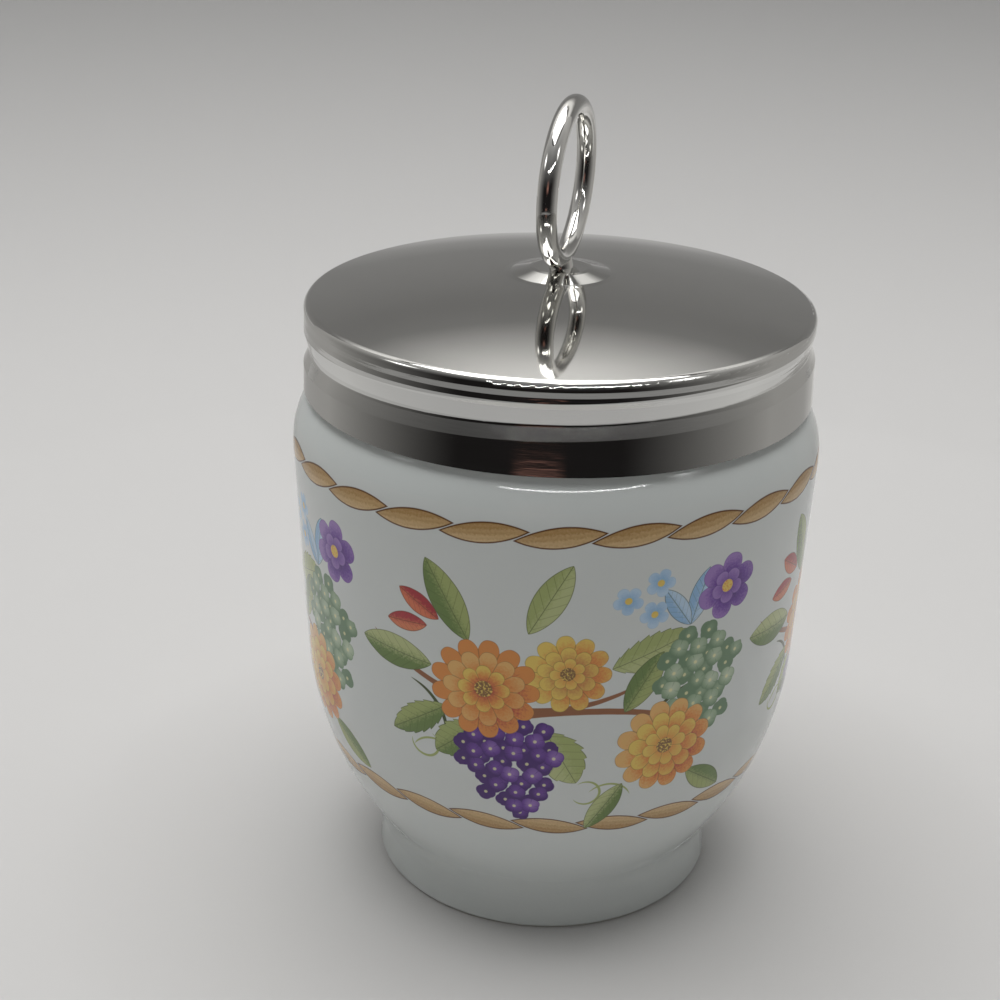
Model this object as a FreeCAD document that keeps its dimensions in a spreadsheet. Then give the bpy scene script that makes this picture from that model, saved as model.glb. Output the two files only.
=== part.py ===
"""Porcelain egg coddler with a screw lid.

The cup is one piece of porcelain: a foot ring, a waisted foot, a tapering belly and a neck with a
moulded screw thread.  The lid is pressed from sheet metal with a thread rolled into its skirt.  A
lifting ring goes through the boss of the lid and is riveted over a washer underneath.

Millimetres, +Z up.  The origin is the centre of the foot ring, on the table.  The lifting ring
stands along Y and leans a little towards +X, so its eye opens along X.
"""
import FreeCAD, Part
import os
import re
import Sketcher
from FreeCAD import Placement, Rotation, Vector

doc = FreeCAD.newDocument("EggCoddler")

# ---------------------------------------------------------------- sizes
# What someone may change.  Angles are in degrees, turns are whole turns, the rest is millimetres.
DRIVING = (
    ("WidestRadius", 35.9, "outside of the cup at its shoulder"),
    ("LipHeight", 83.8, "from the table to the lip"),
    ("ShoulderDrop", 19.65, "from the lip down to the widest circle"),
    ("WallTaper", 1.27, "radius lost from the widest circle down to the belly"),
    ("BellyHeight", 35.4, "where the straight wall turns into the belly"),
    ("CoveRadius", 5.9, "hollow turn between belly and foot"),
    ("WaistHeight", 4.43, "top of the foot's plain side"),
    ("WaistStep", 11.85, "radius lost from the widest circle down to the waist"),
    ("FootFlare", 0.45, "radius gained from the waist down to the table"),
    ("FootWidth", 3.2, "width of the foot ring"),
    ("FootRecess", 2.2, "depth of the hollow inside the foot ring"),
    ("FootBevel", 0.4, "bevel of the foot ring's edges"),
    ("FloorHeight", 6.4, "inside floor over the table"),
    ("CavityCorner", 9.0, "inside corner between floor and belly"),
    ("CupWall", 3.0, "thickness of the porcelain wall"),
    ("ShoulderArc", 12.0, "outside arc of the shoulder"),
    ("ShoulderStep", 3.8, "radius lost from the widest circle to the neck"),
    ("NeckWall", 3.2, "thickness of the neck"),
    ("LipCrown", 0.7, "height of the lip's round crown"),
    ("ThreadLead", 5.0, "rise of the lid in one turn"),
    ("RunOut", 0.12, "turns over which a thread end dies away"),
    ("RidgeHeight", 1.05, "how far the neck thread stands out"),
    ("RidgeCrest", 1.0, "width of the neck thread on its crest"),
    ("RidgeRoot", 3.2, "width of the neck thread at its root inside the wall"),
    ("RidgeSink", 0.5, "depth of that root inside the wall"),
    ("RidgeDrop", 7.7, "from the lip down to the start of the neck thread"),
    ("RidgeLength", 5.3, "height over which the neck thread climbs"),
    ("BeadDrop", 8.1, "from the lid's rim down to the start of its thread"),
    ("BeadLength", 4.1, "height over which the lid thread climbs"),
    ("BeadAngle", 92.0, "azimuth at which the lid thread starts"),
    ("BeadNose", 0.5, "round nose of the roller that forms the lid thread"),
    ("UpperFlank", 13.5, "lean of the lid thread's long upper flank"),
    ("LowerFlank", 26.0, "lean of its short lower flank"),
    ("SheetThickness", 0.5, "metal of the lid"),
    ("SkirtDepth", 11.65, "from the lid's rim down to its raw edge"),
    ("SkirtFlare", 0.3, "radius gained from the rim to the raw edge"),
    ("RimRound", 1.0, "rounding between skirt and dome"),
    ("DomeRise", 3.75, "height of the dome over the rim"),
    ("BossRadius", 3.7, "flat top of the boss"),
    ("BossFoot", 7.1, "foot of the boss on the dome"),
    ("BossRise", 0.62, "top of the boss over the dome's crown"),
    ("BossBlend", 5.0, "hollow turn between boss and dome"),
    ("RingDiameter", 22.4, "outside of the lifting ring"),
    ("RingWire", 2.7, "wire of the lifting ring"),
    ("RingLean", 2.5, "lean of the ring over its foot, towards +X"),
    ("CollarRadius", 1.7, "collar between the ring and the boss"),
    ("CollarHeight", 0.05, "gap that the collar leaves between ring and boss"),
    ("TenonRadius", 1.2, "tenon of the ring through boss and washer"),
    ("WasherRadius", 3.1, "outside of the washer"),
    ("WasherThickness", 0.8, "thickness of the washer"),
    ("RivetRadius", 2.2, "peened head under the washer"),
    ("RivetHeight", 0.9, "height of the peened head"),
    ("ThreadClearance", 0.35, "neck thread to the inside of the skirt"),
    ("BeadClearance", 0.85, "lid thread to the neck"),
    ("SeatGap", 0.5, "lip to the underside of the dome"),
    ("TenonClearance", 0.05, "tenon to its holes"),
)
# What follows from them, so that the pieces fit each other at any size.
DERIVED = (
    ("WallRadius", "WidestRadius - WallTaper", "outside where wall and belly meet"),
    ("WidestHeight", "LipHeight - ShoulderDrop", "height of the widest circle"),
    ("WaistRadius", "WidestRadius - WaistStep", "outside of the foot at the waist"),
    ("FootRadius", "WaistRadius + FootFlare", "outside of the foot ring on the table"),
    ("NeckRadius", "WidestRadius - ShoulderStep", "outside of the neck"),
    ("LipRadius", "NeckRadius - NeckWall / 2", "middle of the lip"),
    ("LidRadius", "RidgeRadius + ThreadClearance + SheetThickness", "outside of the lid at its rim"),
    ("DomeRadius", "(LidRadius ^ 2 + DomeRise ^ 2) / (2 * DomeRise)", "arc of the dome"),
    ("RimHeight", "LipHeight + SeatGap + SheetThickness - DomeRise * (1 - (LipRadius / LidRadius) ^ 2)",
     "rim of the lid, so that the dome clears the lip"),
    ("BossHeight", "RimHeight + DomeRise + BossRise", "flat top of the boss"),
    ("SkirtSlope", "SkirtFlare / SkirtDepth", "radius gained for each millimetre down the skirt"),
    ("RidgeStart", "LipHeight - RidgeDrop", "height of the neck thread's start"),
    ("RidgeTurns", "RidgeLength / ThreadLead", "turns of the neck thread"),
    ("RidgeRadius", "NeckRadius + RidgeHeight", "crest of the neck thread"),
    ("BeadStart", "RimHeight - BeadDrop", "height of the lid thread's start"),
    ("BeadTurns", "BeadLength / ThreadLead", "turns of the lid thread"),
    ("BeadPath", "NeckRadius + BeadClearance + SheetThickness + BeadNose",
     "radius on which the roller's nose runs"),
    ("RollerBack", "LidRadius + SkirtFlare + SheetThickness", "back of the roller, clear of the skirt"),
    ("InnerNose", "BeadNose + SheetThickness", "round crest of the lid thread inside the lid"),
    ("UpperReach", "RidgeCrest / 2 + InnerNose * tan(UpperFlank / 2)",
     "what the crests of both threads take of the lead over the lid thread"),
    ("LowerReach", "RidgeCrest / 2 + InnerNose * tan(LowerFlank / 2)", "what they take of it below"),
    ("RidgeOffset", "((ThreadLead - LowerReach) * tan(LowerFlank) + UpperReach * tan(UpperFlank))"
     " / (tan(LowerFlank) + tan(UpperFlank))",
     "height of the neck thread over the lid thread, with equal room to both flanks"),
    ("RidgeAngle", "BeadAngle + 360 * (1 + (RidgeStart - BeadStart - RidgeOffset) / ThreadLead)",
     "azimuth of the neck thread's start"),
    ("RingPath", "(RingDiameter - RingWire) / 2", "radius of the ring's centre line"),
    ("RingBottom", "BossHeight + CollarHeight", "lowest point of the ring"),
    ("TenonHole", "TenonRadius + TenonClearance", "holes in boss and washer"),
    ("WasherTop", "BossHeight - SheetThickness", "underside of the boss"),
    ("WasherUnderside", "WasherTop - WasherThickness", "seat of the peened head"),
)
sheet = doc.addObject("Spreadsheet::Sheet", "Sizes")
for row, (alias, value, note) in enumerate(DRIVING, start=1):
    sheet.set(f"A{row}", str(value))
    sheet.set(f"B{row}", note)
    sheet.setAlias(f"A{row}", alias)
for row, (alias, formula, note) in enumerate(DERIVED, start=len(DRIVING) + 1):
    sheet.set(f"A{row}", f"={formula}")
    sheet.set(f"B{row}", note)
    sheet.setAlias(f"A{row}", alias)
doc.recompute()


def bind(thing, prop, expression):
    """Tie a property to the sheet.  Each capitalised word of the expression is a name in it."""
    thing.setExpression(prop, re.sub(r"\b([A-Z]\w+)", r"Sizes.\1", expression))


# ---------------------------------------------------------------- sketches and features
def origin_plane(body, role):
    """One of the body's own origin planes."""
    return next(feature for feature in body.Origin.OriginFeatures if feature.Role == role)


def new_sketch(body, name, role="XZ_Plane"):
    sketch = body.newObject("Sketcher::SketchObject", name)
    sketch.AttachmentSupport = [(origin_plane(body, role), "")]
    sketch.MapMode = "FlatFace"
    return sketch


def hold(sketch, name, reference, rough, expression):
    """Add a named dimension, first at a rough value, and tie it to the sheet."""
    number = sketch.addConstraint(Sketcher.Constraint(*reference, rough))
    sketch.renameConstraint(number, name)
    bind(sketch, f"Constraints.{name}", expression)


class Outline:
    """A closed half section of lines and arcs, drawn roughly and then pinned to the sheet.

    Edges follow each other and are known by name.  A pin holds the corner where an edge ends.
    """

    def __init__(self, body, name, start):
        self.sketch = new_sketch(body, name)
        self.start = Vector(*start, 0)
        self.corner = self.start
        self.edges = {}

    def add(self, name, shape, end, smooth):
        """Add an edge and join it to the last one, tangent if smooth."""
        index = self.sketch.addGeometry(shape)
        forward = self.sketch.getPoint(index, 1).distanceToPoint(self.corner) < 1e-6
        first, last = (1, 2) if forward else (2, 1)
        if self.edges:
            before, _, before_last = list(self.edges.values())[-1]
            kind = "Tangent" if smooth else "Coincident"
            self.sketch.addConstraint(Sketcher.Constraint(kind, before, before_last, index, first))
        self.edges[name] = (index, first, last)
        self.corner = end

    def line(self, name, x, z, smooth=False):
        end = Vector(x, z, 0)
        level = abs(end.y - self.corner.y) < 1e-9
        upright = abs(end.x - self.corner.x) < 1e-9
        self.add(name, Part.LineSegment(self.corner, end), end, smooth)
        if level or upright:
            kind = "Horizontal" if level else "Vertical"
            self.sketch.addConstraint(Sketcher.Constraint(kind, self.edges[name][0]))

    def arc(self, name, x, z, bulge, smooth=False):
        """An arc that stands off its chord by bulge, on the right of the way it runs."""
        end = Vector(x, z, 0)
        way = end - self.corner
        side = Vector(way.y, -way.x, 0).normalize()
        middle = (self.corner + end) / 2 + side * bulge
        self.add(name, Part.Arc(self.corner, middle, end), end, smooth)

    def close(self):
        """Close the outline with a line down the axis."""
        self.line("Axis", self.start.x, self.start.y)
        first = next(iter(self.edges.values()))
        last = self.edges["Axis"]
        self.sketch.addConstraint(Sketcher.Constraint("Coincident", last[0], last[2], first[0], first[1]))
        self.sketch.addConstraint(Sketcher.Constraint("PointOnObject", first[0], first[1], -2))

    def pin(self, edge, x=None, z=None):
        """Hold the end of an edge at the given expressions."""
        index, _, last = self.edges[edge]
        point = self.sketch.getPoint(index, last)
        if x:
            hold(self.sketch, edge + "X", ("DistanceX", -1, 1, index, last), point.x, x)
        if z:
            hold(self.sketch, edge + "Z", ("DistanceY", -1, 1, index, last), point.y, z)

    def radius(self, edge, expression):
        index = self.edges[edge][0]
        rough = self.sketch.Geometry[index].Radius
        hold(self.sketch, edge + "Radius", ("Radius", index), rough, expression)

    def concentric(self, edge, other):
        pair = (self.edges[edge][0], 3, self.edges[other][0], 3)
        self.sketch.addConstraint(Sketcher.Constraint("Coincident", *pair))

    def parallel(self, edge, other):
        pair = (self.edges[edge][0], self.edges[other][0])
        self.sketch.addConstraint(Sketcher.Constraint("Parallel", *pair))

    def centre_on_axis(self, edge, z):
        """Put an arc's centre on the axis at a height."""
        index = self.edges[edge][0]
        self.sketch.addConstraint(Sketcher.Constraint("PointOnObject", index, 3, -2))
        height = self.sketch.getPoint(index, 3).y
        hold(self.sketch, edge + "Centre", ("DistanceY", index, 3, -1, 1), -height, f"0 - ({z})")

    def foot_on_table(self, edge):
        index, _, last = self.edges[edge]
        self.sketch.addConstraint(Sketcher.Constraint("PointOnObject", index, last, -1))


def revolve(body, outline, name):
    feature = body.newObject("PartDesign::Revolution", name)
    feature.Profile = outline.sketch
    feature.ReferenceAxis = (outline.sketch, ["V_Axis"])
    feature.Angle = 360
    doc.recompute()
    return feature


def circle_edge(feature, radius, height):
    """Name of the level circle of a turned feature that lies nearest to a radius and height."""
    best, name = None, None
    for number, edge in enumerate(feature.Shape.Edges, start=1):
        if not isinstance(edge.Curve, Part.Circle):
            continue
        miss = abs(edge.Curve.Radius - radius) + abs(edge.Curve.Center.z - height)
        if best is None or miss < best:
            best, name = miss, f"Edge{number}"
    return name


def soften(body, base, kind, name, circles, expression):
    """Fillet or chamfer the circles, given as pairs of radius and height, of the feature before."""
    feature = body.newObject(f"PartDesign::{kind}", name)
    feature.Base = (base, [circle_edge(base, *circle) for circle in circles])
    bind(feature, {"Fillet": "Radius", "Chamfer": "Size"}[kind], expression)
    doc.recompute()


def draw_ridge(sketch, shift):
    """Section of the neck thread: a trapezium whose root is sunk in the wall."""
    points = [Vector(x, z, 0) for x, z in ((31, 1.5), (33, 0.5), (33, -0.5), (31, -1.5))]
    for index, point in enumerate(points):
        sketch.addGeometry(Part.LineSegment(point, points[(index + 1) % 4]))
    for index in range(4):
        sketch.addConstraint(Sketcher.Constraint("Coincident", index, 2, (index + 1) % 4, 1))
    sketch.addConstraint(Sketcher.Constraint("Symmetric", 1, 1, 1, 2, -1))
    sketch.addConstraint(Sketcher.Constraint("Symmetric", 3, 1, 3, 2, -1))
    hold(sketch, "CrestRadius", ("DistanceX", -1, 1, 1, 1), 33, f"RidgeRadius + {shift}")
    hold(sketch, "RootRadius", ("DistanceX", -1, 1, 0, 1), 31, f"NeckRadius - RidgeSink + {shift}")
    hold(sketch, "CrestWidth", ("DistanceY", 1, 2, 1, 1), 3, "RidgeCrest")
    hold(sketch, "RootWidth", ("DistanceY", 3, 1, 3, 2), 3, "RidgeRoot")


def draw_roller(sketch, shift, inset):
    """Section of the roller that forms the lid thread, grown by the inset for the inner skin.

    Its nose is round, between a long flank above and a short one below.
    """
    above, below = Vector(33, 0.2, 0), Vector(33, -0.4, 0)
    high, low = Vector(35, 8, 0), Vector(35, -4, 0)
    nose = sketch.addGeometry(Part.Arc(above, Vector(32.95, 0, 0), below))
    upper = sketch.addGeometry(Part.LineSegment(above, high))
    back = sketch.addGeometry(Part.LineSegment(high, low))
    lower = sketch.addGeometry(Part.LineSegment(low, below))
    start, end = (1, 2) if sketch.getPoint(nose, 1).y > 0 else (2, 1)
    sketch.addConstraint(Sketcher.Constraint("Tangent", nose, start, upper, 1))
    sketch.addConstraint(Sketcher.Constraint("Coincident", upper, 2, back, 1))
    sketch.addConstraint(Sketcher.Constraint("Coincident", back, 2, lower, 1))
    sketch.addConstraint(Sketcher.Constraint("Tangent", lower, 2, nose, end))
    sketch.addConstraint(Sketcher.Constraint("PointOnObject", nose, 3, -1))
    sketch.addConstraint(Sketcher.Constraint("Vertical", back))
    hold(sketch, "PathRadius", ("DistanceX", -1, 1, nose, 3), 34, f"BeadPath + {shift}")
    hold(sketch, "NoseRadius", ("Radius", nose), 1, f"BeadNose + {inset}")
    hold(sketch, "BackRadius", ("DistanceX", -1, 1, back, 1), 35, f"RollerBack + {shift}")
    hold(sketch, "UpperAngle", ("Angle", upper), 1.3, "(90 - UpperFlank) * 1 deg")
    hold(sketch, "LowerAngle", ("Angle", lower), 2.0, "(90 + LowerFlank) * 1 deg")


def thread(body, name, kind, draw, start, angle, turns, growth, run_out):
    """Sweep the section that draw makes along a helix, with a run-out at each end.

    Growth is the change of the section's radius in one turn.  Run_out is how far it moves away
    from the wall that it works on, past the point where it no longer touches it.
    """
    ends = []
    for end, done in (("Start", "0"), ("End", turns)):
        sketch = new_sketch(body, name + end)
        draw(sketch, f"{growth} * {done}")
        sketch.AttachmentOffset = Placement(Vector(), Rotation(Vector(0, 1, 0), 1))
        bind(sketch, "AttachmentOffset.Base.y", f"{start} + ThreadLead * {done}")
        bind(sketch, "AttachmentOffset.Rotation.Angle", f"({angle} + 360 * {done}) * 1 deg")
        ends.append(sketch)
    doc.recompute()
    for part, sketch, length, widening, backwards in (
        ("Main", ends[0], turns, growth, False),
        ("RunOutStart", ends[0], "RunOut", f"{run_out} / RunOut", True),
        ("RunOutEnd", ends[1], "RunOut", f"{run_out} / RunOut", False),
    ):
        helix = body.newObject(f"PartDesign::{kind}", name + part)
        helix.Profile = sketch
        helix.ReferenceAxis = (sketch, ["V_Axis"])
        helix.Mode = "height-turns-growth"
        helix.Reversed = backwards
        bind(helix, "Turns", length)
        bind(helix, "Height", f"ThreadLead * {length}")
        bind(helix, "Growth", widening)
        doc.recompute()


# ---------------------------------------------------------------- cup
def make_cup():
    """The porcelain cup: one turned section, with the screw thread moulded on its neck."""
    body = doc.addObject("PartDesign::Body", "Cup")
    body.Label = "cup"
    foot_bore = sheet.FootRadius - sheet.FootWidth
    bore = sheet.NeckRadius - sheet.NeckWall
    inner_wall = sheet.WallRadius - sheet.CupWall
    section = Outline(body, "CupSection", (0, sheet.FootRecess))
    section.line("RecessTop", foot_bore, sheet.FootRecess)
    section.line("RecessSide", foot_bore, 0)
    section.line("FootFace", sheet.FootRadius, 0)
    section.line("FootSide", sheet.WaistRadius, sheet.WaistHeight)
    section.arc("Cove", sheet.WaistRadius + 1.1, sheet.WaistHeight + 3.4, -0.3, smooth=True)
    section.arc("Belly", sheet.WallRadius, sheet.BellyHeight, 2.0, smooth=True)
    section.line("Wall", sheet.WidestRadius, sheet.WidestHeight, smooth=True)
    section.arc("Shoulder", sheet.NeckRadius, sheet.WidestHeight + 9.3, 1.1, smooth=True)
    section.line("Neck", sheet.NeckRadius, sheet.LipHeight - sheet.LipCrown)
    section.arc("Lip", bore, sheet.LipHeight - sheet.LipCrown, sheet.LipCrown)
    section.line("Bore", bore, sheet.WidestHeight + 7.5)
    section.arc("InnerShoulder", sheet.WidestRadius - sheet.CupWall, sheet.WidestHeight, -1.0)
    section.line("InnerWall", inner_wall, sheet.BellyHeight, smooth=True)
    section.arc("InnerBelly", sheet.WaistRadius - 0.5, sheet.FloorHeight + 4, -1.6, smooth=True)
    section.arc("Corner", sheet.WaistRadius - 8, sheet.FloorHeight, -1.1, smooth=True)
    section.line("Floor", 0, sheet.FloorHeight, smooth=True)
    section.close()
    section.pin("RecessTop", x="FootRadius - FootWidth", z="FootRecess")
    section.foot_on_table("RecessSide")
    section.pin("FootFace", x="FootRadius")
    section.pin("FootSide", x="WaistRadius", z="WaistHeight")
    section.radius("Cove", "CoveRadius")
    section.pin("Belly", x="WallRadius", z="BellyHeight")
    section.pin("Wall", x="WidestRadius", z="WidestHeight")
    section.radius("Shoulder", "ShoulderArc")
    section.pin("Shoulder", x="NeckRadius")
    section.pin("Neck", z="LipHeight - LipCrown")
    section.pin("Lip", x="NeckRadius - NeckWall", z="LipHeight - LipCrown")
    section.radius("Lip", "((NeckWall / 2) ^ 2 + LipCrown ^ 2) / (2 * LipCrown)")
    section.concentric("InnerShoulder", "Shoulder")
    section.radius("InnerShoulder", "ShoulderArc - CupWall")
    section.parallel("InnerWall", "Wall")
    section.concentric("InnerBelly", "Belly")
    section.radius("Corner", "CavityCorner")
    section.pin("Floor", z="FloorHeight")
    blank = revolve(body, section, "CupBlank")
    foot = [(sheet.FootRadius, 0), (foot_bore, 0)]
    soften(body, blank, "Chamfer", "FootBevelling", foot, "FootBevel")
    thread(body, "NeckThread", "AdditiveHelix", draw_ridge, start="RidgeStart", angle="RidgeAngle",
           turns="RidgeTurns", growth="0", run_out="-1.2 * RidgeHeight")
    return body


# ---------------------------------------------------------------- lid
def make_pressing(name, inset, sink):
    """The solid inside one skin of the lid's sheet, which lies inset from the outer skin.

    The thread is rolled from outside, so the roller's section grows by the inset and its path
    is the same for both skins, which keeps the sheet's thickness all round the bead.
    """
    body = doc.addObject("PartDesign::Body", name)
    rim_radius = sheet.LidRadius - sink
    dome_edge = rim_radius - sheet.RimRound + sink
    boss_foot = sheet.RimHeight + sheet.DomeRise * (1 - (sheet.BossFoot / sheet.LidRadius) ** 2)
    skirt_foot = sheet.RimHeight - sheet.SkirtDepth
    section = Outline(body, name + "Section", (0, skirt_foot))
    section.line("Mouth", rim_radius + sheet.SkirtFlare, skirt_foot)
    section.line("Skirt", rim_radius, sheet.RimHeight - sheet.RimRound)
    section.arc("Rim", dome_edge, sheet.RimHeight - sink, 0.2, smooth=True)
    section.arc("Dome", sheet.BossFoot - sink, boss_foot - sink, 0.9, smooth=True)
    section.line("BossSide", sheet.BossRadius - sink, sheet.BossHeight - sink)
    section.line("BossFace", 0, sheet.BossHeight - sink)
    section.close()
    section.pin("Mouth", x=f"LidRadius + SkirtFlare - {inset}", z="RimHeight - SkirtDepth")
    section.pin("Skirt", x=f"LidRadius - {inset}")
    section.radius("Rim", f"RimRound - {inset}")
    section.radius("Dome", f"DomeRadius - {inset}")
    section.centre_on_axis("Dome", "RimHeight + DomeRise - DomeRadius")
    section.pin("Dome", x=f"BossFoot - {inset}")
    section.pin("BossSide", x=f"BossRadius - {inset}", z=f"BossHeight - {inset}")
    blank = revolve(body, section, name + "Blank")
    foot = [(sheet.BossFoot - sink, boss_foot - sink)]
    soften(body, blank, "Fillet", name + "BossBlend", foot, f"BossBlend + {inset}")
    thread(body, name + "Thread", "SubtractiveHelix",
           lambda sketch, shift: draw_roller(sketch, shift, inset),
           start="BeadStart", angle="BeadAngle", turns="BeadTurns",
           growth="(0 - SkirtSlope * ThreadLead)", run_out="1.2 * RidgeHeight")
    return body


def make_lid():
    """The pressed lid: its outer form, less the form of its inside, less the hole in the boss."""
    outside = make_pressing("LidOutside", "0", 0)
    inside = make_pressing("LidInside", "SheetThickness", sheet.SheetThickness)
    shell = doc.addObject("Part::Cut", "LidShell")
    shell.Base = outside
    shell.Tool = inside
    hole = doc.addObject("Part::Cylinder", "BossHole")
    bind(hole, "Radius", "TenonHole")
    bind(hole, "Height", "2 * SheetThickness")
    bind(hole, "Placement.Base.z", "BossHeight - 1.5 * SheetThickness")
    lid = doc.addObject("Part::Cut", "Lid")
    lid.Base = shell
    lid.Tool = hole
    lid.Label = "screw_lid"
    return lid


# ---------------------------------------------------------------- lifting ring and washer
def make_ring():
    """The wire ring on its collar, with the tenon that is peened over under the washer."""
    hoop = doc.addObject("Part::Torus", "RingHoop")
    bind(hoop, "Radius1", "RingPath")
    bind(hoop, "Radius2", "RingWire / 2")
    hoop.Placement = Placement(Vector(), Rotation(Vector(0, 1, 0), 90))
    bind(hoop, "Placement.Rotation.Angle", "(90 + RingLean) * 1 deg")
    bind(hoop, "Placement.Base.x", "RingPath * sin(RingLean)")
    bind(hoop, "Placement.Base.z", "RingBottom + RingWire / 2 + RingPath * cos(RingLean)")
    collar = doc.addObject("Part::Cone", "RingCollar")
    bind(collar, "Radius1", "CollarRadius")
    bind(collar, "Radius2", "RingWire / 2")
    bind(collar, "Height", "CollarHeight + RingWire / 2")
    bind(collar, "Placement.Base.z", "BossHeight")
    tenon = doc.addObject("Part::Cylinder", "RingTenon")
    bind(tenon, "Radius", "TenonRadius")
    bind(tenon, "Height", "SheetThickness + WasherThickness")
    bind(tenon, "Placement.Base.z", "WasherUnderside")
    rivet = doc.addObject("Part::Cone", "RingRivet")
    bind(rivet, "Radius1", "RivetRadius / 2")
    bind(rivet, "Radius2", "RivetRadius")
    bind(rivet, "Height", "RivetHeight")
    bind(rivet, "Placement.Base.z", "WasherUnderside - RivetHeight")
    ring = doc.addObject("Part::MultiFuse", "LiftingRing")
    ring.Shapes = [hoop, collar, tenon, rivet]
    ring.Label = "lifting_ring"
    return ring


def make_washer():
    """The washer that spreads the rivet's pull over the underside of the boss."""
    body = doc.addObject("PartDesign::Body", "Washer")
    body.Label = "rivet_washer"
    sketch = new_sketch(body, "WasherSection", "XY_Plane")
    for name, expression in (("Outside", "WasherRadius"), ("Hole", "TenonHole")):
        circle = Part.Circle(Vector(), Vector(0, 0, 1), sheet.get(expression))
        index = sketch.addGeometry(circle)
        sketch.addConstraint(Sketcher.Constraint("Coincident", index, 3, -1, 1))
        hold(sketch, name, ("Radius", index), circle.Radius, expression)
    pad = body.newObject("PartDesign::Pad", "WasherPad")
    pad.Profile = sketch
    bind(pad, "Length", "WasherThickness")
    bind(body, "Placement.Base.z", "WasherUnderside")
    return body


# ---------------------------------------------------------------- build, check and write
pieces = [make_cup(), make_lid(), make_ring(), make_washer()]
doc.recompute()
for thing in doc.Objects:
    if "Invalid" in thing.State or "Error" in thing.State:
        raise RuntimeError(f"{thing.Name} did not build: {thing.State}")
for piece in pieces:
    if piece.Shape.isNull() or not piece.Shape.isValid() or len(piece.Shape.Solids) != 1:
        raise RuntimeError(f"{piece.Label} is not one valid solid")

os.makedirs("parts", exist_ok=True)
for piece in pieces:
    piece.Shape.exportStep(f"parts/{piece.Label}.step")
    print(f"{piece.Label}: {piece.Shape.Volume:.1f} mm3")
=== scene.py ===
"""Porcelain egg coddler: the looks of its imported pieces, in metres and in their own frame."""

import math

import bpy
from mathutils import Matrix, Vector

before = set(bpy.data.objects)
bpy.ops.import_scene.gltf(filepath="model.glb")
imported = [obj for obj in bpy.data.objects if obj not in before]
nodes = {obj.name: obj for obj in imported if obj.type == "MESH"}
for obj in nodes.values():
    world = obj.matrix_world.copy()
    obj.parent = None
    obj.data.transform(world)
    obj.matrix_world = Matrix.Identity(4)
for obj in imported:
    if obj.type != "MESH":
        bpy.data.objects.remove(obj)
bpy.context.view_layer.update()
MM = 0.001

# ---------------------------------------------------------------- cup
# The cup is one piece of hard porcelain, thrown to a waisted foot and glazed all over, except on
# the rim that it stands on, which is wiped clean for the kiln.  The print is a transfer that is
# fired into the glaze, so it shines as the glaze does and has no edge to feel.


class Socket:
    """A socket of a material's nodes.  Arithmetic on it adds Math nodes to the same tree."""

    def __init__(self, tree, socket):
        self.tree = tree
        self.socket = socket

    def node(self, kind, settings=None, sockets=None, out=0):
        """Add a node: its settings are set first, then its sockets, to values or to links."""
        node = self.tree.nodes.new(kind)
        for name, value in (settings or {}).items():
            if name == "stops":
                ramp = node.color_ramp.elements
                for index, (position, colour) in enumerate(value):
                    stop = ramp[index] if index < 2 else ramp.new(position)
                    stop.position = position
                    stop.color = (*colour, 1)
            else:
                setattr(node, name, value)
        for name, value in (sockets or {}).items():
            socket = node.inputs[name]
            if isinstance(value, Socket):
                self.tree.links.new(value.socket, socket)
            elif socket.type == "RGBA":
                socket.default_value = (*value, 1)
            else:
                socket.default_value = value
        return Socket(self.tree, node.outputs[out])

    def math(self, operation, *values):
        return self.node("ShaderNodeMath", {"operation": operation}, dict(enumerate(values)))

    def __add__(self, other):
        return self.math("ADD", self, other)

    def __radd__(self, other):
        return self.math("ADD", other, self)

    def __sub__(self, other):
        return self.math("SUBTRACT", self, other)

    def __rsub__(self, other):
        return self.math("SUBTRACT", other, self)

    def __mul__(self, other):
        return self.math("MULTIPLY", self, other)

    def __rmul__(self, other):
        return self.math("MULTIPLY", other, self)

    def __truediv__(self, other):
        return self.math("DIVIDE", self, other)

    def __pow__(self, other):
        return self.math("POWER", self, other)

    def __abs__(self):
        return self.math("ABSOLUTE", self)

    def __gt__(self, other):
        return self.math("GREATER_THAN", self, other)

    def wrap(self, low, high):
        return self.math("WRAP", self, high, low)

    def lesser(self, other):
        return self.math("MINIMUM", self, other)

    def greater(self, other):
        return self.math("MAXIMUM", self, other)

    def sine(self):
        return self.math("SINE", self)

    def edge(self, softness):
        """1 where this is above nothing by the softness, 0 where it is below nothing."""
        return (self / softness).greater(0).lesser(1)

    def parts(self):
        """The two or three numbers of a vector."""
        split = self.node("ShaderNodeSeparateXYZ", sockets={0: self}).socket.node
        return [Socket(self.tree, split.outputs[axis]) for axis in range(3)]

    def between(self, start, end, clamped=True):
        """The colour that lies this share of the way from one colour to another."""
        settings = {"data_type": "RGBA", "clamp_factor": clamped}
        return self.node("ShaderNodeMix", settings, {0: self, 6: start, 7: end}, out=2)

    def over(self, colour, mask):
        """This colour with another one laid over it where the mask is 1."""
        return mask.between(self, colour)

    def vector(self, operation, other):
        return self.node("ShaderNodeVectorMath", {"operation": operation}, {0: self, 1: other})

    def length(self):
        return self.node("ShaderNodeVectorMath", {"operation": "LENGTH"}, {0: self}, out=1)

    def noise(self, scale, detail=2.0, roughness=0.5, stretch=(1, 1, 1)):
        """Noise over this point, with features about 1 / scale wide."""
        place = self.vector("MULTIPLY", stretch)
        sockets = {"Vector": place, "Scale": scale, "Detail": detail, "Roughness": roughness}
        return self.node("ShaderNodeTexNoise", sockets=sockets)


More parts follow.
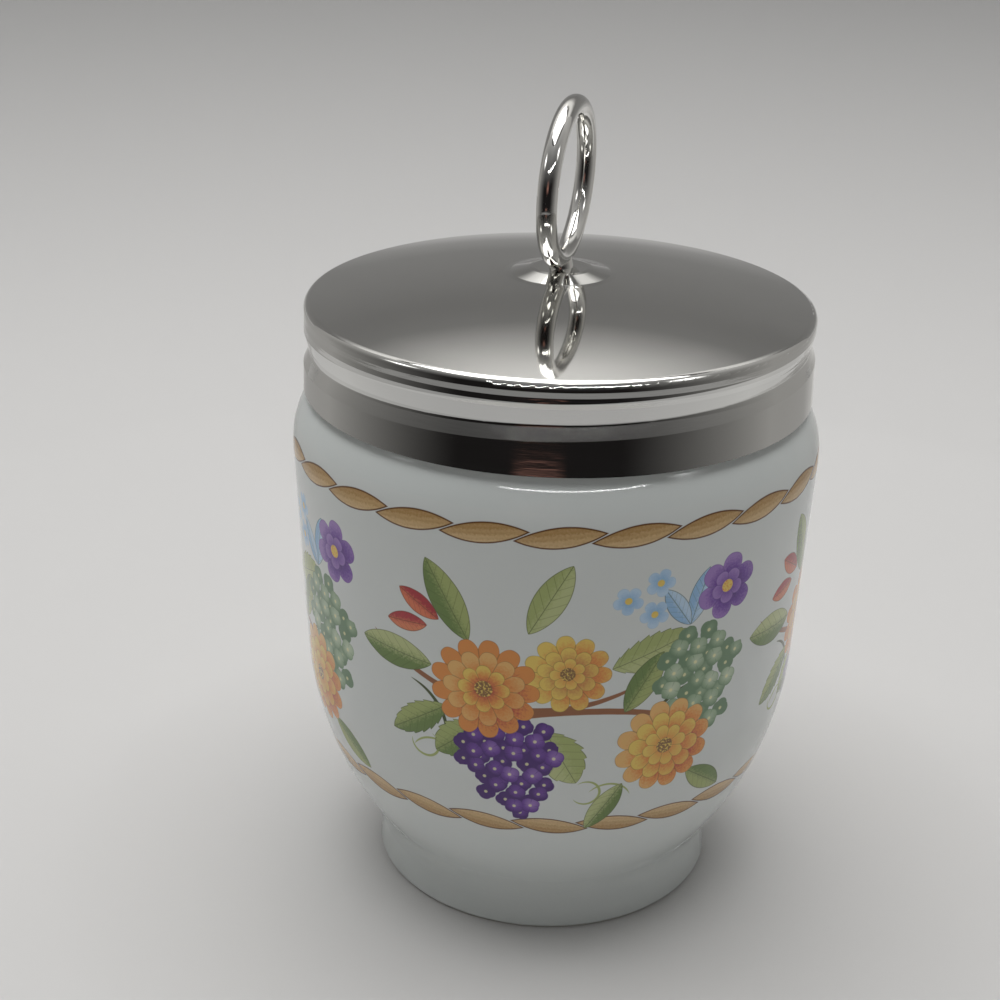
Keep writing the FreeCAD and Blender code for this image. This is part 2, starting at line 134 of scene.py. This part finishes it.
class Finish:
    """A new material with one Principled shader, whose sockets are set by name."""

    def __init__(self, name, **constants):
        self.material = bpy.data.materials.new(name)
        self.material.use_nodes = True
        tree = self.material.node_tree
        self.shader = tree.nodes["Principled BSDF"]
        self.start = Socket(tree, self.shader.outputs[0])
        self.place = self.start.node("ShaderNodeTexCoord", out="Object")
        self.normal = self.start.node("ShaderNodeTexCoord", out="Normal")
        for name, value in constants.items():
            self.shader.inputs[name.replace("_", " ")].default_value = value

    def feed(self, **links):
        """Link sockets of the shader to what varies over the surface."""
        for name, value in links.items():
            self.start.tree.links.new(value.socket, self.shader.inputs[name.replace("_", " ")])

    def bump(self, height, depth):
        """Let a height of 1 stand out by that depth, in metres."""
        sockets = {"Height": height, "Distance": depth}
        self.feed(Normal=self.start.node("ShaderNodeBump", sockets=sockets))

    def put_on(self, *things):
        for thing in things:
            thing.data.materials.clear()
            thing.data.materials.append(self.material)


# Sizes of the print, in millimetres along the wall and up it.
PRINT_RADIUS = 35.0
REPEATS = 4
TILE = 2 * math.pi * PRINT_RADIUS / REPEATS
BAND_MIDDLE = 43.8
BAND_HALF = 21.5
FRONT_ANGLE = math.radians(-74)
SOFT = 0.09

INK_BROWN = (0.13, 0.055, 0.025)
INK_GREEN = (0.07, 0.09, 0.03)
OCHRE = (0.44, 0.27, 0.11)
OCHRE_LIGHT = (0.70, 0.50, 0.27)
TWIG = (0.30, 0.12, 0.05)
LEAF_LIGHT = (0.38, 0.44, 0.16)
LEAF_DARK = (0.16, 0.24, 0.07)
LEAF_PALE = (0.50, 0.55, 0.26)
SEED_LIGHT = (0.80, 0.76, 0.42)
BLUE = (0.30, 0.50, 0.74)
BLUE_LIGHT = (0.52, 0.68, 0.84)
GLAZE = (0.69, 0.72, 0.705)
GLAZE_THICK = (0.66, 0.71, 0.70)
BISQUE = (0.66, 0.64, 0.60)

porcelain = Finish("glazed_porcelain", IOR=1.52)
x, y, z = porcelain.place.parts()
along = (y.math("ARCTAN2", y, x) - FRONT_ANGLE) * PRINT_RADIUS
along = along.wrap(-TILE / 2, TILE / 2)
height = z * (1 / MM)
print_point = porcelain.start.node("ShaderNodeCombineXYZ", sockets={0: along, 1: height})
grain = print_point.noise(3.2, detail=3)


def own_axes(place, degrees=0.0, size=(1.0, 1.0)):
    """A point of the print in a motif's own axes and size."""
    sockets = {0: print_point, 1: (*place, 0), 2: (0, 0, math.radians(degrees)), 3: (*size, 1)}
    return porcelain.start.node("ShaderNodeMapping", {"vector_type": "TEXTURE"}, sockets)


def leaf(under, place, degrees, length, width, light, dark, ink, teeth):
    """A pointed leaf that starts at a place, with a midrib, side veins and an inked edge."""
    run, side, _ = own_axes(place, degrees, (length, width / 2)).parts()
    belly = (run * (1 - run) * 4).greater(0) ** 0.8
    if teeth:
        belly = belly * (0.9 + 0.14 * (run * teeth).wrap(0, 1))
    room = (belly - abs(side)) * (width / 2)
    tone = (side * 1.4 + grain * 1.6 - 0.3).greater(0).lesser(1).between(light, dark)
    rib = (0.1 - abs(side) * (width / 2)).edge(SOFT) * 0.7
    vein = (abs((run * 7 - abs(side) * 1.5).wrap(-0.5, 0.5)) - 0.42).edge(0.08) * 0.4
    rim = (0.2 - room).edge(0.12) * 0.8
    tone = tone.over(ink, rib.greater(vein).greater(rim))
    return under.over(tone, room.edge(SOFT))


def blossom(under, place, radius, rings, heart, petals_ink=INK_BROWN, turn=0.0):
    """An open blossom.  A ring is its size, petal count, depth of notch and colours outwards.
    The heart is its size, its ground and the dots on it."""
    point = own_axes(place, turn, (radius, radius))
    px, py, _ = point.parts()
    far = point.length()
    angle = px.math("ARCTAN2", py, px)
    for number, (size, count, notch, colours) in enumerate(rings):
        across = abs((angle * (count / (2 * math.pi)) + number * 0.5).wrap(-0.5, 0.5)) * 2
        rim = size * (1 - notch * across ** 2.5)
        room = (rim - far) * radius
        share = far / rim
        rise = 0.72 / (len(colours) - 1)
        stops = [(0.25 + rise * step, colour) for step, colour in enumerate(colours)]
        streak = share + (grain - 0.5) * 0.5 + (0.5 - across) * 0.12 + (py - px) * 0.16
        tone = under.node("ShaderNodeValToRGB", {"stops": stops}, {0: streak})
        gap = (across - 0.9).edge(0.1) * 0.55
        ink = (0.16 - room).edge(0.12) * 0.7
        tone = tone.over(petals_ink, gap.greater(ink))
        under = under.over(tone, room.edge(SOFT))
    heart_size, ground, dots = heart
    eye = (grain - 0.5).edge(0.1).between(ground, dots)
    return under.over(eye, ((heart_size - far) * radius).edge(SOFT))


def cluster(under, place, degrees, size, pitch, colours, ink, taper=0.0):
    """Whole florets side by side in two layers, which fill an oval or hang to a point."""
    for shift, tones in ((0.5 * pitch, (*colours[1:], ink)), (0.0, colours)):
        point = print_point.vector("ADD", (shift, shift, 0))
        cells = under.node("ShaderNodeTexVoronoi", {"voronoi_dimensions": "2D"},
                           {"Vector": point, "Scale": 1 / pitch, "Randomness": 0.42}).socket.node
        centre = Socket(under.tree, cells.outputs["Position"])
        tint = Socket(under.tree, cells.outputs["Color"]).parts()[0]
        spot = (place[0] + shift, place[1] + shift, 0)
        sockets = {0: centre, 1: spot, 2: (0, 0, math.radians(degrees)), 3: (*size, 1)}
        inside = under.node("ShaderNodeMapping", {"vector_type": "TEXTURE"}, sockets)
        run, side, _ = inside.parts()
        spread = (side / (1 - taper * run)) if taper else side
        kept = 1 - run * run - spread * spread
        middle = point.vector("SUBTRACT", centre)
        mx, my, _ = middle.parts()
        far = middle.length()
        lobes = abs((mx.math("ARCTAN2", my, mx) * 2 + tint * 6).sine())
        room = pitch * (0.44 + 0.07 * lobes) - far
        rise = 0.75 / (len(tones) - 1)
        stops = [(0.15 + rise * step, colour) for step, colour in enumerate(tones)]
        shade = far / pitch + tint * 0.4 + (my * -0.4 - mx * 0.3) / pitch + 0.1
        tone = under.node("ShaderNodeValToRGB", {"stops": stops}, {0: shade})
        furrow = (0.2 - lobes).edge(0.2) * (far / pitch - 0.12).edge(0.1) * 0.6
        tone = tone.over(ink, furrow.greater((0.2 - room).edge(0.16) * 0.8))
        tone = tone.over(SEED_LIGHT, (0.1 * pitch - far).edge(0.1) * 0.8)
        under = under.over(tone, room.edge(SOFT) * (kept > 0))
    return under


def stroke(under, place, radius, start, end, width, colour):
    """An arc drawn with a brush, between two angles in degrees, thin at both ends."""
    middle = math.radians((start + end) / 2)
    half = math.radians(abs(end - start) / 2)
    px, py, _ = own_axes(place, math.degrees(middle)).parts()
    angle = px.math("ARCTAN2", py, px)
    swell = (1 - (angle / half) * (angle / half)).greater(0) ** 0.5
    room = swell * (width / 2) - abs((px * px + py * py) ** 0.5 - radius)
    return under.over(colour, room.edge(SOFT))


# Borders: a twisted cord above and below, drawn on bare glaze as links that overlap in turn.
LINK = 9.16
LINK_REACH = LINK * 0.62
LINK_BELLY = 1.45
LINK_SLANT = math.radians(6.5)
LINK_INK = 0.30
from_border = abs(height - BAND_MIDDLE) - BAND_HALF
painted = grain.between(GLAZE, GLAZE)
for turn in (0.0, LINK):
    run = (along + turn).wrap(-LINK, LINK)
    across = from_border * math.cos(LINK_SLANT) - run * math.sin(LINK_SLANT)
    belly = (1 - (run / LINK_REACH) * (run / LINK_REACH)).greater(0) * LINK_BELLY
    room = belly - abs(across)
    strand = (across * 9 + grain * 5).sine() * 0.12
    tone = (across * 0.45 + grain * 1.1 + strand).greater(0).lesser(1).between(OCHRE_LIGHT, OCHRE)
    tone = tone.over(INK_BROWN, (LINK_INK - room).edge(0.12))
    painted = painted.over(tone, room.edge(SOFT))

# Stalks and tendrils, then leaves, then the flowers over them.
for place, radius, start, end, width, colour in (
    ((-4.0, 75.0), 34.0, -128, -62, 1.0, TWIG),
    ((4.0, 8.0), 33.0, 62, 112, 1.0, TWIG),
    ((-21.0, 36.0), 7.0, -20, 75, 0.6, INK_GREEN),
    ((-17.2, 33.5), 2.0, -190, 60, 0.45, LEAF_LIGHT),
    ((-15.8, 30.9), 3.6, 60, 150, 0.4, LEAF_LIGHT),
    ((4.6, 28.3), 1.9, -150, 130, 0.45, LEAF_LIGHT),
    ((7.6, 26.2), 3.4, 20, 140, 0.4, LEAF_LIGHT),
    ((20.5, 34.5), 9.0, 100, 175, 0.6, INK_GREEN),
):
    painted = stroke(painted, place, radius, start, end, width, colour)

for place, degrees, length, width, light, dark, teeth in (
    ((-11.0, 50.0), 118, 12.0, 4.6, LEAF_LIGHT, LEAF_DARK, 0),
    ((-3.5, 52.0), 62, 11.0, 4.2, LEAF_PALE, LEAF_LIGHT, 0),
    ((-16.0, 45.5), 175, 11.0, 4.8, LEAF_PALE, LEAF_DARK, 0),
    ((-14.0, 40.0), 215, 10.0, 4.4, LEAF_LIGHT, LEAF_DARK, 7),
    ((7.0, 47.0), 20, 11.5, 5.2, LEAF_PALE, LEAF_LIGHT, 8),
    ((9.0, 40.5), 60, 9.5, 4.0, LEAF_LIGHT, LEAF_DARK, 0),
    ((19.0, 29.5), -35, 9.0, 3.8, LEAF_LIGHT, LEAF_DARK, 0),
    ((9.5, 29.5), -120, 9.0, 3.6, LEAF_PALE, LEAF_DARK, 0),
    ((-1.0, 38.0), -62, 9.0, 6.4, LEAF_PALE, LEAF_LIGHT, 6),
    ((-9.5, 38.0), -140, 8.0, 5.4, LEAF_LIGHT, LEAF_DARK, 6),
    ((17.2, 51.8), 75, 8.0, 3.2, BLUE_LIGHT, BLUE, 0),
    ((17.2, 51.8), 125, 7.0, 2.8, BLUE_LIGHT, BLUE, 0),
    ((-20.5, 55.5), -30, 6.5, 3.0, (0.70, 0.20, 0.10), (0.42, 0.04, 0.05), 0),
    ((-22.5, 50.5), 5, 6.0, 2.8, (0.72, 0.24, 0.12), (0.45, 0.05, 0.06), 0),
):
    ink = INK_BROWN if light[0] > 0.6 else INK_GREEN
    painted = leaf(painted, place, degrees, length, width, light, dark, ink, teeth)

YELLOW = (0.80, 0.58, 0.13)
ORANGE = (0.72, 0.28, 0.07)
RED = (0.48, 0.08, 0.05)
PEACH = (0.78, 0.46, 0.16)
PURPLE = (0.16, 0.06, 0.34)
MAUVE = (0.34, 0.20, 0.52)
VIOLET_DARK = (0.07, 0.02, 0.17)
SEED_BROWN = (0.25, 0.13, 0.05)
SAGE = (0.34, 0.45, 0.30)
SAGE_LIGHT = (0.60, 0.68, 0.52)
SAGE_DARK = (0.16, 0.26, 0.15)

painted = cluster(painted, (19.6, 43.5), 0, (6.0, 8.0), 3.0,
                  (SAGE_LIGHT, SAGE, SAGE_DARK), SAGE_DARK)
painted = cluster(painted, (-5.0, 31.0), -78, (8.6, 5.6), 2.8,
                  (MAUVE, PURPLE, VIOLET_DARK), VIOLET_DARK, taper=0.55)
painted = blossom(painted, (15.0, 34.5), 7.0, (
    (1.0, 12, 0.20, (RED, RED, ORANGE, PEACH)),
    (0.74, 10, 0.22, (RED, ORANGE, YELLOW)),
    (0.46, 8, 0.25, (ORANGE, YELLOW)),
), (0.17, SEED_BROWN, YELLOW), turn=12)
painted = blossom(painted, (1.5, 46.5), 5.6, (
    (1.0, 11, 0.22, (RED, ORANGE, YELLOW)),
    (0.70, 9, 0.24, (RED, YELLOW)),
    (0.42, 7, 0.25, (ORANGE, YELLOW)),
), (0.18, SEED_BROWN, YELLOW), turn=30)
painted = blossom(painted, (-9.0, 43.5), 7.2, (
    (1.0, 13, 0.20, (RED, RED, ORANGE, ORANGE)),
    (0.76, 11, 0.22, (RED, ORANGE, PEACH)),
    (0.48, 8, 0.25, (RED, ORANGE, YELLOW)),
), (0.17, SEED_BROWN, YELLOW))
painted = blossom(painted, (22.4, 56.0), 4.6, (
    (1.0, 6, 0.30, (VIOLET_DARK, PURPLE, MAUVE)),
    (0.55, 5, 0.30, (PURPLE, MAUVE)),
), (0.2, YELLOW, ORANGE), VIOLET_DARK, turn=20)
for place in ((8.5, 56.5), (12.5, 58.5), (12.0, 54.2)):
    painted = blossom(painted, place, 2.0, ((1.0, 5, 0.35, (BLUE, BLUE_LIGHT)),),
                      (0.26, YELLOW, YELLOW), BLUE, turn=place[0] * 40)

# The print is on the outside only, and the glaze stops a third of a millimetre above the floor.
outside = porcelain.normal.parts()
facing = (outside[0] * x + outside[1] * y) > 0
in_band = (BAND_HALF + 3 - abs(height - BAND_MIDDLE)).edge(0.1)
glaze = (porcelain.place.noise(180) * 0.5).between(GLAZE, GLAZE_THICK)
bare = (0.0002 - z + 0.0002 * porcelain.place.noise(900)).edge(0.0001)
colour = glaze.over(painted, facing * in_band).over(BISQUE, bare)
porcelain.feed(Base_Color=colour, Roughness=0.035 + 0.6 * bare + 0.035 * porcelain.place.noise(60))
porcelain.bump(porcelain.place.noise(140, detail=1), 0.00004)
porcelain.put_on(nodes["cup"])

# ---------------------------------------------------------------- lid
# The lid is one pressing of sheet metal, polished and nickel plated.  Its skirt is spun over a
# former and rolled with one turn of thread, which leaves fine lines round it.

SKIRT_RADIUS = 0.034
SKIRT_TOP = 84.0
LEAN_TOP = 82.9
LEAN_HEIGHT = 4.2
LEAN_SLOPE = 0.12
RIDGE_MIDDLE = 81.5
RIDGE_HALF = 0.7
BOSS_FOOT = 6.7
BOSS_SIDE = 2.5
BOSS_SLOPE = 0.17
NICKEL = (0.72, 0.715, 0.69)
NICKEL_DULL = (0.64, 0.635, 0.61)
NICKEL_SPECK = (0.30, 0.28, 0.25)

plated_sheet = Finish("plated_sheet", Metallic=1.0)
lx, ly, lz = plated_sheet.place.parts()
out = (lx * lx + ly * ly) ** 0.5
skirt_place = plated_sheet.start.node("ShaderNodeCombineXYZ", sockets={
    0: lx.math("ARCTAN2", ly, lx) * SKIRT_RADIUS, 1: out, 2: lz})
draw_marks = skirt_place.noise(900, detail=4, roughness=0.6, stretch=(0.12, 1, 3))
feathers = skirt_place.noise(150, detail=4, roughness=0.65, stretch=(0.35, 0.2, 2.2))
smears = plated_sheet.place.noise(70, detail=3)
up = lz * (1 / MM)
on_skirt = (SKIRT_TOP - up).edge(0.6)
rubbed = (0.01 + 0.10 * (feathers - 0.4).greater(0)) * on_skirt
speck_distance = plated_sheet.place.node("ShaderNodeTexVoronoi", sockets={
    "Vector": plated_sheet.place, "Scale": 95.0})
specks = (0.016 - speck_distance).edge(0.006)
plated_sheet.feed(
    Base_Color=smears.between(NICKEL_DULL, NICKEL).over(NICKEL_SPECK, specks * 0.8),
    Roughness=0.035 + 0.035 * smears + 0.4 * specks + rubbed,
)
# Over the thread the skirt leans in a little towards the bottom, and the tools left a soft ridge
# round it.  The boss is struck with a steeper side than its blend into the dome.
lean = (LEAN_TOP - up).greater(0).lesser(LEAN_HEIGHT) * -LEAN_SLOPE
ridge = (1 - abs(up - RIDGE_MIDDLE) / RIDGE_HALF).greater(0) * (0.02 + 0.07 * feathers)
boss = (BOSS_FOOT - out * (1 / MM)).greater(0).lesser(BOSS_SIDE) * BOSS_SLOPE
plated_sheet.bump((lean + ridge + draw_marks * 0.004 + feathers * 0.016) * on_skirt + boss, MM)
plated_sheet.put_on(nodes["screw_lid"])

# ---------------------------------------------------------------- lifting ring and washer
# The ring is bent from plated wire and brazed to a short collar, whose tenon goes through the
# boss.  Inside the lid the tenon is peened over a plain steel washer.

plated_wire = Finish("plated_wire", Metallic=1.0)
dents = plated_wire.place.noise(420)
plated_wire.feed(
    Base_Color=dents.between((0.70, 0.69, 0.66), (0.78, 0.77, 0.74)),
    Roughness=0.04 + 0.08 * dents,
)
plated_wire.bump(dents, 0.00004)
plated_wire.put_on(nodes["lifting_ring"])

washer_steel = Finish("washer_steel", Metallic=1.0)
scuffs = washer_steel.place.noise(900, detail=4)
washer_steel.feed(
    Base_Color=scuffs.between((0.42, 0.41, 0.39), (0.60, 0.59, 0.57)),
    Roughness=0.28 + 0.2 * scuffs,
)
washer_steel.bump(scuffs, 0.00002)
washer_steel.put_on(nodes["rivet_washer"])

# ---------------------------------------------------------------- floor, light and camera
# A pale round floor that curves up into a grey wall all round, one large soft lamp overhead, and a
# dark curved card in front that glows with painted reflections, which lights nothing and which only
# the gloss of the piece shows.

CAMERA_TURN = math.radians(16.2)
look = Vector((-math.sin(CAMERA_TURN), math.cos(CAMERA_TURN), 0))
aside = Vector((look.y, -look.x, 0))


def about(right, away, up):
    """A point given across, along and above the way the camera looks."""
    return aside * right + look * away + Vector((0, 0, up))


def turned_by(degrees):
    return Matrix.Rotation(math.radians(degrees), 3, "Z")


def stage_sheet(name, rows, finish):
    """A smooth sheet through rows of points that belongs to the studio, not to the piece."""
    across = len(rows[0])
    faces = [(i * across + j, i * across + j + 1, (i + 1) * across + j + 1, (i + 1) * across + j)
             for i in range(len(rows) - 1) for j in range(across - 1)]
    mesh = bpy.data.meshes.new(name)
    mesh.from_pydata([point for row in rows for point in row], [], faces)
    mesh.shade_smooth()
    thing = bpy.data.objects.new(name, mesh)
    bpy.context.collection.objects.link(thing)
    finish.put_on(thing)
    return thing


# The greys of the paper by its height, as shares of 0.7 metres: darker as it turns up, as painted shade,
# and pale again near the lamp, as a painted pool of light that the gloss shows.  High up in front it
# is painted nearly black, as painted shade of a dim room, so that little light comes from there.
FLOOR_RADIUS = 0.27
FLOOR_BACK = 0.1
CURVE_RADIUS = 0.36
CURVE_STEPS = 24
WALL_TOP = 1.3
GREY_SPAN = 0.7
PAPER_GREYS_AND_PAINTED_LIGHT = ((0.0, 0.64), (0.03, 0.55), (0.12, 0.29), (0.19, 0.23), (0.60, 0.23), (0.86, 0.80))
PAINTED_SHADE_FROM = 0.27

paper = Finish("backdrop_paper", Roughness=0.75)
px, py, pz = paper.place.parts()
stops = [(share, (grey, grey * 0.99, grey * 0.975)) for share, grey in PAPER_GREYS_AND_PAINTED_LIGHT]
paper_grey_and_painted_light = paper.start.node("ShaderNodeValToRGB", {"stops": stops}, {0: pz / GREY_SPAN})
# Painted shade: high up in front the paper is painted nearly black.
in_front = (px * -look.x - py * look.y).edge(0.15)
painted_shade_high = ((pz - PAINTED_SHADE_FROM) / 0.1).greater(0).lesser(1)
paper.feed(Base_Color=paper_grey_and_painted_light.over((0.04, 0.04, 0.04), in_front * painted_shade_high))

profile = [(0.0, 0.0), (FLOOR_RADIUS, 0.0)]
for step in range(1, CURVE_STEPS + 1):
    turn = math.radians(90 * step / CURVE_STEPS)
    profile.append((FLOOR_RADIUS + CURVE_RADIUS * math.sin(turn), CURVE_RADIUS * (1 - math.cos(turn))))
profile.append((FLOOR_RADIUS + CURVE_RADIUS, WALL_TOP))
rows = []
for far, up in profile:
    centre = about(0, -FLOOR_BACK, up)
    rows.append([centre + turned_by(degrees) @ Vector((far, 0, 0)) for degrees in range(0, 361, 5)])
stage_sheet("sweep", rows, paper)

# The card lies on the floor round the foot and stands up beyond it.  Its glowing colours are painted
# light and painted reflections: nearly black in the middle, as painted shade of a dim room, painted
# greyer to both sides and upwards, and painted pale where it lies on the floor, as a painted
# reflection of the lit floor that fades outwards.  It carries a painted thin line of small lights, a
# painted window at each side and the painted warm reflection of a hand.
CARD_FOOT = 0.07
CARD_RADIUS = 0.19
CARD_LIFT = 0.0006
CARD_LOW = 0.06
CARD_HEIGHT = 0.38
CARD_HALF = 158
FULL_HALF = 102
TAPER_HALF = 126
PAINTED_ROOM_SHADE = (0.012, 0.011, 0.011)
PAINTED_ROOM_GREY = (0.22, 0.216, 0.21)
PAINTED_HAND_REFLECTION = (0.30, 0.15, 0.12)
LIGHTS_HEIGHT = 0.187
LIGHTS_HALF = math.radians(33)
LIGHTS_STRENGTH = 40
WINDOW_HEIGHT = 0.2
WINDOW_BEARING = math.radians(66)
WINDOW_STRENGTH = 6

reflection_card_finish = Finish("glowing_reflection_card", Base_Color=(0, 0, 0, 1), Roughness=1.0, Specular_IOR_Level=0.0,
                     Emission_Strength=1.0)
cx, cy, cz = reflection_card_finish.place.parts()


def bearing_from(degrees):
    """How far round from a bearing a point of the card is, in radians."""
    start = CAMERA_TURN - math.pi / 2 + math.radians(degrees)
    return (cy.math("ARCTAN2", cy, cx) - start).wrap(-math.pi, math.pi)


# Painted room light: the card grows greyer to both sides of its dark middle.
bearing = abs(bearing_from(-8))
painted_side_light = (((bearing - math.radians(32)) / math.radians(50)).greater(0) ** 1.4).lesser(1.7)
painted_side_light = painted_side_light + ((bearing - math.radians(138)) / math.radians(20)).greater(0) * 0.9
glow = painted_side_light.between(PAINTED_ROOM_SHADE, PAINTED_ROOM_GREY, clamped=False)
# Painted reflection of the lit floor: pale where the card lies, fading outwards; painted greyer upwards.
lying = (0.002 - cz).edge(0.0005)
floor_reflection_falloff = ((cx * cx + cy * cy) ** 0.5 - CARD_FOOT) * (0.30 / (CARD_RADIUS - CARD_FOOT))
upwards = ((cz - 0.11) / (CARD_HEIGHT - 0.11)).greater(0) * 0.38
glow = glow.over((1, 1, 1), ((0.52 - floor_reflection_falloff) * lying).greater(upwards))

# Painted reflection of a hand: a warm patch low down and another higher up, in the middle.
hand_reflection_low = (1 - abs(cz - 0.013) / 0.006).greater(0)
hand_reflection_high = (1 - abs(cz - 0.11) / 0.03).greater(0)
hand_reflection = (1 - bearing / math.radians(11)).edge(0.4) * hand_reflection_low.greater(hand_reflection_high)
# Painted lights: a dotted glowing line of small lights and a glowing window at each side.
lights_bearing = bearing_from(7)
dots = 0.65 + 0.35 * (lights_bearing * 160).sine()
lights_line = (0.0035 - abs(cz - LIGHTS_HEIGHT)).edge(0.0015)
lights = (LIGHTS_HALF - abs(lights_bearing)).edge(0.04) * lights_line * dots
windows = (1 - abs(bearing - WINDOW_BEARING) / math.radians(11)).greater(0)
windows = windows * (1 - abs(cz - WINDOW_HEIGHT) / 0.035).greater(0)
glow = glow.over(PAINTED_HAND_REFLECTION, hand_reflection).over((0.9, 0.9, 0.9), windows.greater(lights))
reflection_card_finish.feed(Emission_Color=glow.node("ShaderNodeVectorMath", {"operation": "SCALE"}, {
    0: glow, "Scale": 1 + LIGHTS_STRENGTH * lights + WINDOW_STRENGTH * windows}))

rows = []
for far, foot, top in (
    (CARD_FOOT, CARD_LIFT, CARD_LIFT),
    (CARD_RADIUS, CARD_LIFT, CARD_LIFT),
    (CARD_RADIUS, CARD_LOW, CARD_HEIGHT),
):
    row = []
    for degrees in range(-CARD_HALF, CARD_HALF + 1, 4):
        share = min(1.0, max(0.0, (TAPER_HALF - abs(degrees)) / (TAPER_HALF - FULL_HALF)))
        row.append(turned_by(degrees) @ about(0, -far, foot + (top - foot) * share))
    rows.append(row)
card = stage_sheet("glowing_reflection_card", rows, reflection_card_finish)
for rays in ("camera", "diffuse", "shadow", "transmission", "volume_scatter"):
    setattr(card, "visible_" + rays, False)

LAMP_SIDE = 0.85
LAMP_POWER = 7.6
lamp = bpy.data.lights.new("top_light", "AREA")
lamp.size = LAMP_SIDE
lamp.energy = LAMP_POWER
lamp_object = bpy.data.objects.new("top_light", lamp)
lamp_object.location = about(-0.05, 0.05, 0.9)
lamp_object.rotation_mode = "QUATERNION"
aim = Vector((0, 0, 0.05)) - lamp_object.location
lamp_object.rotation_quaternion = aim.to_track_quat("-Z", "Y")
bpy.context.collection.objects.link(lamp_object)

# Above the wall the gloss shows the same pale grey as the camera would.
AIR_PALE = (0.42, 0.415, 0.41)
AIR_DIM = (0.07, 0.07, 0.07)
world = bpy.data.worlds.new("room")
world.use_nodes = True
room = Socket(world.node_tree, world.node_tree.nodes["Background"].outputs[0])
paths = room.node("ShaderNodeLightPath").socket.node
camera_ray, glossy_ray, transmission_ray = (
    Socket(room.tree, paths.outputs[f"Is {kind} Ray"]) for kind in ("Camera", "Glossy", "Transmission"))
air = camera_ray.greater(glossy_ray).greater(transmission_ray).between(AIR_DIM, AIR_PALE)
world.node_tree.links.new(air.socket, world.node_tree.nodes["Background"].inputs["Color"])
bpy.context.scene.world = world
bpy.context.scene.view_settings.view_transform = "Standard"

CAMERA_TILT = 0.411674
CAMERA_ROLL = 0.021069
CAMERA_PLACE = (-7.4324 * MM, -218.5226 * MM, 149.8866 * MM)
camera = bpy.data.cameras.new("camera")
camera.lens = 61.21
camera.sensor_width = 36.0
camera.clip_start = 0.01
camera_object = bpy.data.objects.new("camera", camera)
turned = Matrix.Rotation(CAMERA_TURN, 4, "Z")
tilted = Matrix.Rotation(math.pi / 2 - CAMERA_TILT, 4, "X")
rolled = Matrix.Rotation(CAMERA_ROLL, 4, "Z")
camera_object.matrix_world = Matrix.Translation(turned @ Vector(CAMERA_PLACE)) @ turned @ tilted @ rolled
bpy.context.collection.objects.link(camera_object)
bpy.context.scene.camera = camera_object
